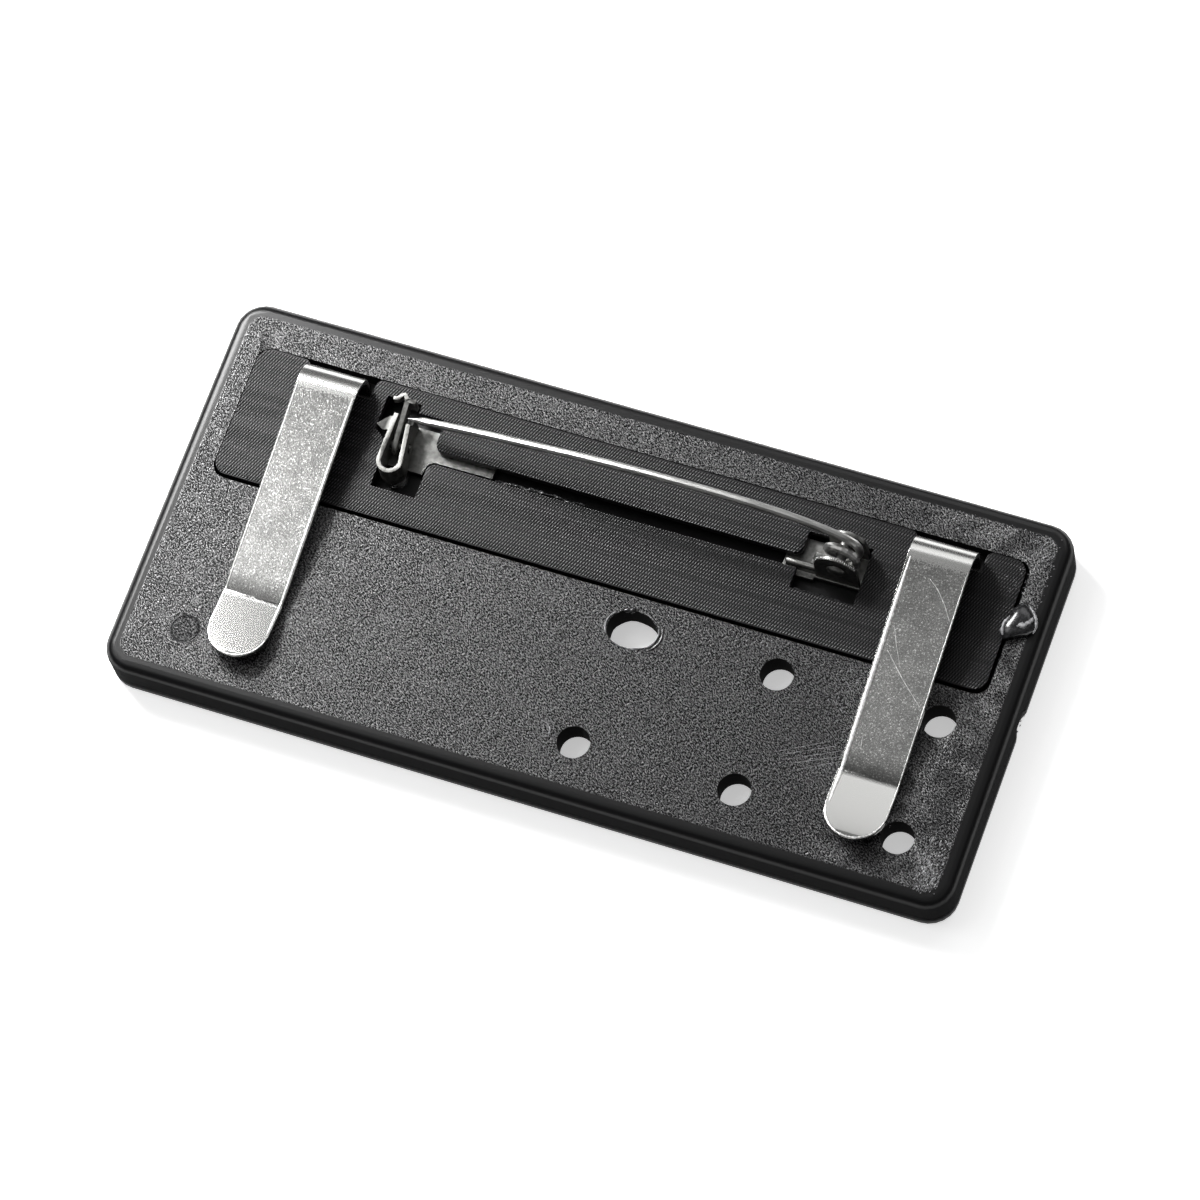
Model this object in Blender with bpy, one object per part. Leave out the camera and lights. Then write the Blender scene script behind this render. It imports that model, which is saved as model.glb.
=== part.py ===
"""A name badge lying on its front: moulded back, front frame, blank plate, pin and two spring clips.

Frame: X runs along the badge, Y towards its top edge, Z out of its back. The badge lies on its
front frame, and the origin is on that plane, under the middle of the badge. Sizes are metres.
"""

import math

import bmesh
import bpy
from mathutils import Vector

MM = 0.001

# Driving dimensions of the badge
BADGE_LENGTH = 75.0 * MM
BADGE_WIDTH = 35.2 * MM
BADGE_THICKNESS = 4.4 * MM
CORNER_RADIUS = 2.5 * MM
RIM_RADIUS = 0.87 * MM

# Clearances between pieces that meet
GAP = 0.3 * MM
SNUG = 0.1 * MM

# Front frame, with the blank plate behind its window
FRAME_TOP = 1.0 * MM
FRAME_LIP = 0.5 * MM
FRAME_BORDER = 3.0 * MM
PLATE_BORDER = 1.8 * MM
PLATE_LOW = FRAME_LIP + GAP
PLATE_TOP = 1.6 * MM
EDGE_BREAK = 0.12 * MM

# Moulded back: it starts above the parting groove and is hollow under its floor
BACK_LOW = FRAME_TOP + GAP
BACK_FLOOR = PLATE_TOP + GAP
RECESS_FLOOR = 2.75 * MM

# Inlaid strip and its recess. The strip lies up and left in the recess, so the gap shows
# below it and at its right end.
STRIP_LEFT = -34.45 * MM
STRIP_RIGHT = 34.3 * MM
STRIP_LOW_EDGE = 1.55 * MM
STRIP_TOP_EDGE = 13.6 * MM
STRIP_CORNER = 1.2 * MM
STRIP_LOW = 3.7 * MM
RECESS_NARROW_GAP = 0.06 * MM
RECESS_WIDE_GAP = 0.33 * MM

# Windows in the strip for the pin's catch and hinge, and the slot between them
SLOT_LOW, SLOT_HIGH = 7.6 * MM, 8.8 * MM
TONGUE_RADIUS = 0.8 * MM
CATCH_WINDOW = {"left": -20.95 * MM, "right": -16.9 * MM, "low": 4.2 * MM, "high": 11.6 * MM}
CATCH_NOTCH = {"left": -22.4 * MM, "right": -19.3 * MM, "low": 8.3 * MM, "high": 12.4 * MM}
HINGE_WINDOW = {"left": 15.95 * MM, "right": 21.55 * MM, "low": 5.75 * MM, "high": 11.0 * MM}

# Holes through the back, on a grid, and one more that is torn open
HOLE_RADIUS = 1.42 * MM
HOLE_X = (3.45 * MM, 17.55 * MM, 31.65 * MM)
HOLE_Y = (-12.5 * MM, -1.9 * MM)
TORN_CENTRE = (4.72 * MM, -1.68 * MM)
TORN_RADII = (2.2 * MM, 1.68 * MM)
HOLE_SIDES = 28

# Dent low in the right edge: its inner line, as places along the edge and depths in from it
DENT_LINE = ((-0.3, 0.0), (0.2, 0.13), (0.8, 0.33), (1.3, 0.42), (1.75, 0.34), (2.1, 0.17), (2.35, 0.0))
DENT_TOP = 2.0 * MM

# Spring clips, bent from flat steel strip
CLIP_CENTRES = {"clip_left": -26.78 * MM, "clip_right": 27.69 * MM}
CLIP_LEAN = 0.26 * MM
CLIP_THICKNESS = 0.4 * MM
CLIP_WIDTH = 5.38 * MM
CLIP_TIP_WIDTH = 5.3 * MM
CLIP_FOOT_START = 4.5 * MM
CLIP_FOOT_HEIGHT = 3.25 * MM
CLIP_LEG_Y = 12.55 * MM
CLIP_FOOT_RADIUS = 0.7 * MM
CLIP_BEND_RADIUS = 2.0 * MM
CLIP_BEND_HEIGHT = 5.25 * MM
CLIP_SLOPE = 7.0
CLIP_KNEE_Y = -8.5 * MM
CLIP_KNEE_RADIUS = 0.8 * MM
CLIP_TIP_RISE = 10.0
CLIP_TIP_Y = -14.32 * MM
CLIP_SLOT_SIDE = 0.34 * MM
CLIP_SLOT_LOW = 11.6 * MM
CLIP_SLOT_CORNER = 0.6 * MM

# Pin: base plate, hinge ears, rivet
SHEET = 0.35 * MM
BASE_LOW = RECESS_FLOOR + GAP
BASE_TOP = BASE_LOW + SHEET
BASE_HEAD_EDGE = 6.75 * MM
BASE_HINGE_EDGE = 7.3 * MM
BASE_NECK = 9.1 * MM
HINGE_X = 19.6 * MM
HINGE_Z = 6.25 * MM
EAR_FRONT_Y = 7.85 * MM
EAR_BACK_Y = 10.47 * MM
EAR_FRONT = {"x": 19.45 * MM, "z": 6.1 * MM, "radius": 1.87 * MM, "foot": 1.95 * MM}
EAR_BACK = {"x": 19.68 * MM, "z": 6.1 * MM, "radius": 1.6 * MM, "foot": 1.72 * MM}
RIB_X = (14.9 * MM, 17.75 * MM)
RIB_Y = 8.12 * MM
RIB_TOP = 4.42 * MM
RIB_RADIUS = 0.32 * MM
RIVET_RADIUS = 0.5 * MM
RIVET_HEAD_RADIUS = 0.85 * MM
RIVET_HEAD = 0.3 * MM

# Needle: one wire, coiled round the rivet, arched over to the catch. The bow's points are
# x and z in millimetres, from the side of the coil to the point in the catch.
WIRE_RADIUS = 0.36 * MM
COIL_RADIUS = 1.34 * MM
COIL_Y = 8.56 * MM
COIL_PITCH = 0.95 * MM
COIL_START = -450.0
STUB = (17.35, 8.56, 5.7)
BOW = ((20.9, 7.0), (20.62, 7.68), (20.05, 8.17), (19.3, 8.54), (18.2, 8.92), (16.5, 9.37), (14.3, 9.71),
       (11.5, 9.9), (8.0, 9.9), (3.0, 9.68), (-2.5, 9.12), (-8.0, 8.32), (-14.0, 7.27), (-19.5, 6.1))
TIP_Y = 10.25 * MM
POINT_LENGTH = 1.5 * MM
POINT_RADIUS = 0.07 * MM
WIRE_SIDES = 10

# Catch: a sheet folded to a U with a mouth for the needle, and a lock plate that turns in it
CATCH_SHEET = 0.4 * MM
CATCH_LOW = BASE_TOP + SNUG
CATCH_TOP = 6.0 * MM
CHEEK_LEFT_X = -20.65 * MM
CHEEK_RIGHT_X = -19.3 * MM
CATCH_FOLD = {"x": -19.7 * MM, "y": 6.25 * MM, "radius": 0.95 * MM}
CHEEK_LEFT_END = 10.5 * MM
CHEEK_RIGHT_END = 10.7 * MM
MOUTH = ((9.8 * MM, 6.0 * MM), (10.0 * MM, 5.4 * MM))
LOCK_X = -19.95 * MM
LOCK_PIVOT = (8.2 * MM, 4.6 * MM)
LOCK_HUB_RADIUS = 0.84 * MM
LOCK_UNDERSIDE = 0.4 * MM
LOCK_RISE = 20.2
LOCK_LENGTH = 4.15 * MM
GRIP_CURL = ((-20.15, 11.84), (-20.33, 12.0), (-20.53, 11.84), (-20.68, 11.58), (-20.87, 11.45),
             (-21.14, 11.42))
GRIP_SHEET = 0.32 * MM
GRIP_RIGHT = -19.2 * MM
GRIP_DROP_LEFT = 0.7 * MM
GRIP_DROP_RIGHT = 1.7 * MM
PIVOT_RADIUS = 0.35 * MM
TAB_HEIGHT = 4.85 * MM


def clear_scene():
    """Removes every object that a new file starts with."""
    for thing in list(bpy.data.objects):
        bpy.data.objects.remove(thing, do_unlink=True)


def material(name, colour, roughness, metallic):
    """A Principled material in the piece's own colour."""
    made = bpy.data.materials.new(name)
    made.use_nodes = True
    shader = made.node_tree.nodes["Principled BSDF"]
    shader.inputs["Base Color"].default_value = (*colour, 1.0)
    shader.inputs["Roughness"].default_value = roughness
    shader.inputs["Metallic"].default_value = metallic
    return made


def arc(centre, radius, start, stop, steps):
    """Points on an arc in a plane. Angles are degrees, and both ends are included."""
    angles = [math.radians(start + (stop - start) * i / steps) for i in range(steps + 1)]
    return [(centre[0] + radius * math.cos(a), centre[1] + radius * math.sin(a)) for a in angles]


def rounded_rectangle(left, low, right, high, radius, steps=6):
    """The outline of a rectangle with round corners, anticlockwise."""
    corners = (
        ((right - radius, high - radius), 0),
        ((left + radius, high - radius), 90),
        ((left + radius, low + radius), 180),
        ((right - radius, low + radius), 270),
    )
    return [p for centre, turn in corners for p in arc(centre, radius, turn, turn + 90, steps)]


def badge_outline(inset):
    """The badge's outline, drawn in by inset."""
    half_length = BADGE_LENGTH / 2 - inset
    half_width = BADGE_WIDTH / 2 - inset
    return rounded_rectangle(-half_length, -half_width, half_length, half_width,
                             max(CORNER_RADIUS - inset, 0.5 * MM))


def close_solid(bm, rings):
    """Joins rings of equal count into one closed solid, capped at both ends."""
    for below, above in zip(rings, rings[1:]):
        for i in range(len(below)):
            j = (i + 1) % len(below)
            bm.faces.new((below[i], below[j], above[j], above[i]))
    bm.faces.new(rings[0])
    bm.faces.new(rings[-1])
    bmesh.ops.recalc_face_normals(bm, faces=bm.faces)


def solid(rings):
    """A bmesh of one closed solid through rings of points."""
    bm = bmesh.new()
    close_solid(bm, [[bm.verts.new(p) for p in ring] for ring in rings])
    return bm


def prism(outline, low, high, plane="XY"):
    """A flat outline drawn out between two levels of the axis across its plane."""
    place = {
        "XY": lambda a, b, c: (a, b, c),
        "XZ": lambda a, b, c: (a, c, b),
        "YZ": lambda a, b, c: (c, a, b),
    }[plane]
    return solid([[place(a, b, level) for a, b in outline] for level in (low, high)])


def gathered(parts):
    """Several separate closed solids in one bmesh."""
    whole = bmesh.new()
    for part in parts:
        scratch = bpy.data.meshes.new("scratch")
        part.to_mesh(scratch)
        part.free()
        whole.from_mesh(scratch)
        bpy.data.meshes.remove(scratch)
    return whole


def add(name, bm, finish=None):
    """Makes an object of a bmesh, smooth where its faces turn little."""
    mesh = bpy.data.meshes.new(name)
    bm.to_mesh(mesh)
    bm.free()
    made = bpy.data.objects.new(name, mesh)
    bpy.context.scene.collection.objects.link(made)
    if finish is not None:
        mesh.materials.append(finish)
        mesh.shade_smooth()
        mesh.set_sharp_from_angle(angle=math.radians(32))
    return made


def combine(target, name, bm, operation="DIFFERENCE"):
    """Cuts a solid out of an object, or joins it on, and leaves the tool as a wire guide."""
    tool = add(name, bm)
    tool.hide_render = True
    tool.display_type = "WIRE"
    step = target.modifiers.new(name, "BOOLEAN")
    step.operation = operation
    step.solver = "EXACT"
    step.object = tool


def swept_normals(points):
    """The sideways unit vector at each point of a path in a plane, to the path's left."""
    normals = []
    for i in range(len(points)):
        before = Vector(points[max(i - 1, 0)])
        after = Vector(points[min(i + 1, len(points) - 1)])
        along = (after - before).normalized()
        normals.append(Vector((-along.y, along.x)))
    return normals


def thick_path(points, thickness):
    """The closed outline of a sheet of even thickness that follows a path in a plane."""
    half = thickness / 2
    sides = swept_normals(points)
    left = [tuple(Vector(p) + n * half) for p, n in zip(points, sides)]
    right = [tuple(Vector(p) - n * half) for p, n in zip(points, sides)]
    return left + right[::-1]


def edge_dent():
    """The bite that the dent takes out of the right edge, in the frame and the back alike."""
    edge = BADGE_LENGTH / 2
    outside = edge + 1.0 * MM
    line = [(edge - depth * MM, y * MM) for y, depth in DENT_LINE]
    return prism([(outside, line[0][1]), *line, (outside, line[-1][1])], -FRAME_LIP, DENT_TOP)


def front_frame(finish):
    """The black frame that the badge lies on: a lip round the window and a seat for the plate."""
    rings = [
        (0.0, 3 * EDGE_BREAK),
        (EDGE_BREAK, EDGE_BREAK),
        (3 * EDGE_BREAK, 0.0),
        (FRAME_TOP - EDGE_BREAK, 0.0),
        (FRAME_TOP, EDGE_BREAK),
    ]
    made = add("front_frame", solid([[(x, y, z) for x, y in badge_outline(inset)] for z, inset in rings]),
               finish)
    window = badge_outline(FRAME_BORDER)
    seat = badge_outline(PLATE_BORDER - GAP)
    combine(made, "frame_window", prism(window, -FRAME_LIP, FRAME_TOP + FRAME_LIP))
    combine(made, "frame_seat", prism(seat, FRAME_LIP, FRAME_TOP + FRAME_LIP))
    combine(made, "frame_dent", edge_dent())
    return made


def name_plate(finish):
    """The blank white plate behind the frame's window. The holes in the back show it."""
    return add("name_plate", prism(badge_outline(PLATE_BORDER), PLATE_LOW, PLATE_TOP), finish)


def torn_outline():
    """The outline of the torn hole: an ellipse with two uneven waves round it."""
    points = []
    for i in range(HOLE_SIDES):
        angle = 2 * math.pi * i / HOLE_SIDES
        wave = 1 + 0.03 * math.sin(3 * angle + 2.0) + 0.015 * math.sin(7 * angle + 0.5)
        points.append((TORN_CENTRE[0] + TORN_RADII[0] * wave * math.cos(angle),
                       TORN_CENTRE[1] + TORN_RADII[1] * wave * math.sin(angle)))
    return points


def back_housing(finish):
    """The moulded back: round rim, recess for the strip, hollow underside, holes and one dent."""
    straight = BADGE_THICKNESS - RIM_RADIUS
    levels = [(BACK_LOW, EDGE_BREAK), (BACK_LOW + EDGE_BREAK, 0.0)]
    rim_steps = 5
    for i in range(rim_steps + 1):
        angle = math.radians(90 * i / rim_steps)
        levels.append((straight + RIM_RADIUS * math.sin(angle), RIM_RADIUS * (1 - math.cos(angle))))
    rings = [[(x, y, z) for x, y in badge_outline(inset)] for z, inset in levels]
    made = add("back_housing", solid(rings), finish)

    above = BADGE_THICKNESS + 1.0 * MM
    recess = rounded_rectangle(STRIP_LEFT - RECESS_NARROW_GAP, STRIP_LOW_EDGE - RECESS_WIDE_GAP,
                               STRIP_RIGHT + RECESS_WIDE_GAP, STRIP_TOP_EDGE + RECESS_NARROW_GAP,
                               STRIP_CORNER + RECESS_NARROW_GAP)
    combine(made, "recess_cutter", prism(recess, RECESS_FLOOR, above))
    hollow = badge_outline(PLATE_BORDER - GAP)
    combine(made, "underside_cutter", prism(hollow, FRAME_TOP, BACK_FLOOR))

    round_holes = [(x, y) for x in HOLE_X for y in HOLE_Y if (x, y) != (HOLE_X[0], HOLE_Y[1])]
    drills = [
        prism(arc(centre, HOLE_RADIUS, 0, 360 - 360 / HOLE_SIDES, HOLE_SIDES - 1), FRAME_TOP, above)
        for centre in round_holes
    ]
    combine(made, "hole_cutter", gathered(drills + [prism(torn_outline(), FRAME_TOP, above)]))

    combine(made, "back_dent", edge_dent())
    return made


def strip_outline():
    """The strip's outline, with an open slot in its top edge for each clip's leg."""
    left, low, right, high = STRIP_LEFT, STRIP_LOW_EDGE, STRIP_RIGHT, STRIP_TOP_EDGE
    end, corner = STRIP_CORNER, CLIP_SLOT_CORNER
    half = CLIP_WIDTH / 2 + CLIP_SLOT_SIDE
    outline = arc((right - end, high - end), end, 0, 90, 6)
    for centre in sorted(CLIP_CENTRES.values(), reverse=True):
        outline += arc((centre + half + corner, high - corner), corner, 90, 180, 4)
        outline += [(centre + half, CLIP_SLOT_LOW), (centre - half, CLIP_SLOT_LOW)]
        outline += arc((centre - half - corner, high - corner), corner, 0, 90, 4)
    outline += arc((left + end, high - end), end, 90, 180, 6)
    outline += arc((left + end, low + end), end, 180, 270, 6)
    return outline + arc((right - end, low + end), end, 270, 360, 6)


def strip_opening():
    """One outline: the catch's window with its side notch, the slot, and the hinge's window."""
    catch, notch, hinge = CATCH_WINDOW, CATCH_NOTCH, HINGE_WINDOW
    corner_y = SLOT_HIGH + TONGUE_RADIUS
    right_end = arc((hinge["left"] - TONGUE_RADIUS, corner_y), TONGUE_RADIUS, 0, -90, 5)
    left_end = arc((catch["right"] + TONGUE_RADIUS, corner_y), TONGUE_RADIUS, 270, 180, 5)
    shoulder = arc((catch["right"] + TONGUE_RADIUS, SLOT_LOW - TONGUE_RADIUS), TONGUE_RADIUS, 180, 90, 5)
    return [
        (catch["left"], catch["low"]),
        (catch["right"], catch["low"]),
        *shoulder,
        (hinge["left"], SLOT_LOW),
        (hinge["left"], hinge["low"]),
        (hinge["right"], hinge["low"]),
        (hinge["right"], hinge["high"]),
        (hinge["left"], hinge["high"]),
        *right_end,
        *left_end,
        (catch["right"], catch["high"]),
        (notch["right"], catch["high"]),
        (notch["right"], notch["high"]),
        (notch["left"], notch["high"]),
        (notch["left"], notch["low"] + (catch["left"] - notch["left"]) * 0.7),
        (catch["left"], notch["low"]),
    ]


def inlaid_strip(finish):
    """The flat black strip that closes the recess over the pin's base and the clips' feet."""
    made = add("inlaid_strip", prism(strip_outline(), STRIP_LOW, BADGE_THICKNESS), finish)
    below, above = STRIP_LOW - 1.0 * MM, BADGE_THICKNESS + 1.0 * MM
    combine(made, "window_cutter", prism(strip_opening(), below, above))
    return made


def clip_path():
    """The clip's middle line in the YZ plane, from its hidden foot to the end of its tip."""
    foot_centre = (CLIP_LEG_Y - CLIP_FOOT_RADIUS, CLIP_FOOT_HEIGHT + CLIP_FOOT_RADIUS)
    bend_centre = (CLIP_LEG_Y - CLIP_BEND_RADIUS, CLIP_BEND_HEIGHT)
    path = [(CLIP_FOOT_START, CLIP_FOOT_HEIGHT)]
    path += arc(foot_centre, CLIP_FOOT_RADIUS, -90, 0, 4)
    path += arc(bend_centre, CLIP_BEND_RADIUS, 0, 90 + CLIP_SLOPE, 12)
    slope, rise = math.radians(CLIP_SLOPE), math.radians(CLIP_TIP_RISE)
    knee_height = path[-1][1] - (path[-1][0] - CLIP_KNEE_Y) * math.tan(slope)
    reach = CLIP_KNEE_RADIUS * math.tan((slope + rise) / 2)
    knee_centre = (CLIP_KNEE_Y + reach * math.cos(slope) - CLIP_KNEE_RADIUS * math.sin(slope),
                   knee_height + reach * math.sin(slope) + CLIP_KNEE_RADIUS * math.cos(slope))
    path += arc(knee_centre, CLIP_KNEE_RADIUS, CLIP_SLOPE - 90, -90 - CLIP_TIP_RISE, 4)
    tip_radius = CLIP_TIP_WIDTH / 2
    last = path[-1]
    length = (last[0] - CLIP_TIP_Y) / math.cos(rise)
    round_start = length - tip_radius
    turns = [math.radians(a) for a in (0, 20, 40, 55, 68, 78, 85)]
    for distance in [round_start + tip_radius * math.sin(a) for a in turns]:
        path.append((last[0] - distance * math.cos(rise), last[1] + distance * math.sin(rise)))
    return path, [math.cos(a) for a in turns]


def spring_clip(name, finish):
    """A steel strip from under the inlaid strip, up its slot, over a round bend and down to a tip."""
    path, narrowing = clip_path()
    normals = swept_normals(path)
    total = CLIP_LEG_Y - CLIP_TIP_Y
    rings = []
    for i, ((y, z), normal) in enumerate(zip(path, normals)):
        share = min(max((CLIP_LEG_Y - y) / total, 0.0), 1.0) if z > CLIP_BEND_HEIGHT or y < 0 else 0.0
        half = (CLIP_WIDTH + (CLIP_TIP_WIDTH - CLIP_WIDTH) * share) / 2
        past_round = i - (len(path) - len(narrowing))
        if past_round >= 0:
            half *= max(narrowing[past_round], 0.12)
        step = normal * CLIP_THICKNESS / 2
        centre = CLIP_CENTRES[name] + CLIP_LEAN * share
        rings.append([
            (centre - half, y + step.x, z + step.y),
            (centre + half, y + step.x, z + step.y),
            (centre + half, y - step.x, z - step.y),
            (centre - half, y - step.x, z - step.y),
        ])
    return add(name, solid(rings), finish)


def ear_outline(ear):
    """A hinge ear in the XZ plane: a round top over straight sides that stand on the base."""
    inside = BASE_LOW + SHEET / 3
    return [(ear["x"] - ear["foot"], inside), (ear["x"] + ear["foot"], inside),
            *arc((ear["x"], ear["z"]), ear["radius"], 0, 180, 14)]


def pin_base(finish):
    """The pin's steel base: a head under the catch, a hidden neck, a rib and the two hinge ears."""
    ear_half = SHEET / 2
    rim = 0.1 * MM
    low_ear, high_ear = EAR_FRONT_Y - ear_half, EAR_BACK_Y + ear_half
    left, right = EAR_FRONT["x"] - EAR_FRONT["foot"] - rim, EAR_FRONT["x"] + EAR_FRONT["foot"] + rim
    outline = [
        (-21.0 * MM, BASE_HEAD_EDGE),
        (-17.35 * MM, BASE_HEAD_EDGE),
        (-17.2 * MM, 7.7 * MM),
        (-16.8 * MM, 8.05 * MM),
        (-11.5 * MM, 8.1 * MM),
        (-11.5 * MM, BASE_NECK),
        (14.5 * MM, BASE_NECK),
        (14.5 * MM, BASE_HINGE_EDGE),
        (left, BASE_HINGE_EDGE),
        (left, low_ear - rim),
        (right, low_ear - rim),
        (right, high_ear + rim),
        (-21.0 * MM, high_ear + rim),
    ]
    made = add("pin_base", prism(outline, BASE_LOW, BASE_TOP), finish)
    for name, y, ear in (("front_ear", EAR_FRONT_Y, EAR_FRONT), ("back_ear", EAR_BACK_Y, EAR_BACK)):
        combine(made, name, prism(ear_outline(ear), y - ear_half, y + ear_half, "XZ"), "UNION")
    rib = [(RIB_Y - RIB_RADIUS, BASE_LOW + SHEET / 2), (RIB_Y + RIB_RADIUS, BASE_LOW + SHEET / 2),
           *arc((RIB_Y, RIB_TOP - RIB_RADIUS), RIB_RADIUS, 0, 180, 8)]
    combine(made, "rib", prism(rib, *RIB_X, "YZ"), "UNION")
    bore = arc((HINGE_X, HINGE_Z), RIVET_RADIUS + SNUG, 0, 345, 23)
    combine(made, "ear_bore", prism(bore, low_ear - 1.0 * MM, high_ear + 1.0 * MM, "XZ"))
    return made


def turned_about_y(profile, x, z, sides):
    """A solid turned about a line along Y, from a profile of (level, radius) pairs."""
    rings = [[(a, y, b) for a, b in arc((x, z), radius, 0, 360 - 360 / sides, sides - 1)]
             for y, radius in profile]
    return solid(rings)


def hinge_rivet(finish):
    """The rivet through both ears, with a domed head outside each."""
    low, high = EAR_FRONT_Y - SHEET / 2 - SNUG, EAR_BACK_Y + SHEET / 2 + SNUG
    profile = [
        (low - RIVET_HEAD, 0.5 * RIVET_HEAD_RADIUS),
        (low - 0.6 * RIVET_HEAD, 0.85 * RIVET_HEAD_RADIUS),
        (low, RIVET_HEAD_RADIUS),
        (low, RIVET_RADIUS),
        (high, RIVET_RADIUS),
        (high, RIVET_HEAD_RADIUS),
        (high + 0.6 * RIVET_HEAD, 0.85 * RIVET_HEAD_RADIUS),
        (high + RIVET_HEAD, 0.5 * RIVET_HEAD_RADIUS),
    ]
    return add("hinge_rivet", turned_about_y(profile, HINGE_X, HINGE_Z, 20), finish)


def through(points, steps):
    """A smooth curve through points, with steps short pieces between each two of them."""
    last = len(points) - 1
    curve = [points[0]]
    for i in range(last):
        before, here = points[max(i - 1, 0)], points[i]
        ahead, beyond = points[i + 1], points[min(i + 2, last)]
        leave, arrive = (ahead - before) / 2, (beyond - here) / 2
        for k in range(1, steps + 1):
            t = k / steps
            curve.append(here * (2 * t**3 - 3 * t**2 + 1) + leave * (t**3 - 2 * t**2 + t)
                         + ahead * (3 * t**2 - 2 * t**3) + arrive * (t**3 - t**2))
    return curve


def needle_path():
    """The wire's middle line: stub, coil round the rivet, bow, and the point in the catch."""
    steps = 26
    stub = Vector(STUB) * MM
    coil = []
    for i in range(steps + 1):
        angle = math.radians(COIL_START - COIL_START * i / steps)
        coil.append(Vector((HINGE_X + COIL_RADIUS * math.cos(angle),
                            COIL_Y - COIL_PITCH * COIL_START / 360 * i / steps,
                            HINGE_Z + COIL_RADIUS * math.sin(angle))))
    side = coil[-1]
    tip_x = BOW[-1][0] * MM
    bow = []
    for x, z in BOW:
        share = max((side.x - x * MM) / (side.x - tip_x), 0.0)
        bow.append(Vector((x * MM, side.y + (TIP_Y - side.y) * share, z * MM)))
    return [stub, stub.lerp(coil[0], 0.5) - Vector((0, 0, 0.08 * MM))] + coil[:-1] + through([side] + bow, 3)


def needle(finish):
    """The needle as one swept wire, drawn to a point at its free end."""
    path = needle_path()
    tip = path[-1]
    rings = []
    up = Vector((0, 1, 0))
    for i, point in enumerate(path):
        along = (path[min(i + 1, len(path) - 1)] - path[max(i - 1, 0)]).normalized()
        up = (up - along * up.dot(along)).normalized()
        side = along.cross(up)
        left = (point - tip).length
        radius = WIRE_RADIUS
        if left < POINT_LENGTH:
            radius = POINT_RADIUS + (WIRE_RADIUS - POINT_RADIUS) * math.sqrt(left / POINT_LENGTH)
        rings.append([tuple(point + up * a + side * b)
                      for a, b in arc((0, 0), radius, 0, 360 - 360 / WIRE_SIDES, WIRE_SIDES - 1)])
    return add("needle_pin", solid(rings), finish)


def catch_guard(finish):
    """The catch: two upright cheeks joined by a fold, a mouth for the needle, and a pointed tab."""
    fold = CATCH_FOLD
    path = [(CHEEK_LEFT_X, CHEEK_LEFT_END), (CHEEK_LEFT_X, fold["y"] + 1.0 * MM)]
    path += arc((fold["x"], fold["y"]), fold["radius"], 180, 360, 12)
    path += [(CHEEK_RIGHT_X, MOUTH[0][0] - 0.2 * MM), (CHEEK_RIGHT_X, CHEEK_RIGHT_END)]
    made = add("catch_guard", prism(thick_path(path, CATCH_SHEET), CATCH_LOW, CATCH_TOP), finish)
    (start_y, start_z), (end_y, end_z) = MOUTH
    mouth = [(start_y, start_z), (end_y, end_z), (CHEEK_RIGHT_END + GAP, end_z),
             (CHEEK_RIGHT_END + GAP, start_z + GAP), (start_y, start_z + GAP)]
    combine(made, "mouth_cutter",
            prism(mouth, CHEEK_RIGHT_X - CATCH_SHEET, CHEEK_RIGHT_X + CATCH_SHEET, "YZ"))
    tab = [(CHEEK_LEFT_X, 10.4 * MM), (-21.3 * MM, 10.4 * MM), (-22.2 * MM, 9.4 * MM),
           (-21.5 * MM, 9.0 * MM), (CHEEK_LEFT_X, 9.25 * MM)]
    combine(made, "tab", prism(tab, TAB_HEIGHT, TAB_HEIGHT + CATCH_SHEET), "UNION")
    bore = arc(LOCK_PIVOT, PIVOT_RADIUS + SNUG, 0, 342, 19)
    combine(made, "guard_bore", prism(bore, CHEEK_LEFT_X - 1.0 * MM, CHEEK_RIGHT_X + 1.5 * MM, "YZ"))
    return made


def lock_pivot(finish):
    """The hidden pin that the lock plate turns on, from cheek to cheek."""
    outline = arc(LOCK_PIVOT, PIVOT_RADIUS, 0, 342, 19)
    low, high = CHEEK_LEFT_X - CATCH_SHEET / 2, CHEEK_RIGHT_X + 1.5 * CATCH_SHEET
    return add("lock_pivot", prism(outline, low, high, "YZ"), finish)


def catch_lock(finish):
    """The lock plate: a round hub on the pivot, and an arm up to a grip that lies across its end."""
    turn = math.radians(LOCK_RISE)
    along = Vector((math.cos(turn), math.sin(turn)))
    across = Vector((-along.y, along.x))
    pivot = Vector(LOCK_PIVOT)
    end = pivot + along * LOCK_LENGTH
    spread = math.degrees(math.asin(LOCK_UNDERSIDE / LOCK_HUB_RADIUS))
    outline = [tuple(end - across * LOCK_UNDERSIDE), tuple(end + across * LOCK_HUB_RADIUS)]
    outline += arc(LOCK_PIVOT, LOCK_HUB_RADIUS, LOCK_RISE + 90, LOCK_RISE + 360 - spread, 16)
    half = CATCH_SHEET / 2
    made = add("catch_lock", prism(outline, LOCK_X - half, LOCK_X + half, "YZ"), finish)
    top = end + across * (LOCK_HUB_RADIUS + 0.05 * MM)
    root = (LOCK_X, top.x - CATCH_SHEET / 2)
    curl = [root] + [(x * MM, y * MM) for x, y in GRIP_CURL]
    combine(made, "grip_left", prism(thick_path(curl, GRIP_SHEET), top.y - GRIP_DROP_LEFT, top.y), "UNION")
    tab = [root, (GRIP_RIGHT, root[1])]
    combine(made, "grip_right", prism(thick_path(tab, CATCH_SHEET * 0.9), top.y - GRIP_DROP_RIGHT,
                                      top.y - EDGE_BREAK), "UNION")
    bore = arc(LOCK_PIVOT, PIVOT_RADIUS + SNUG, 0, 342, 19)
    combine(made, "lock_bore", prism(bore, LOCK_X - 3 * half, LOCK_X + 3 * half, "YZ"))
    return made


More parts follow.
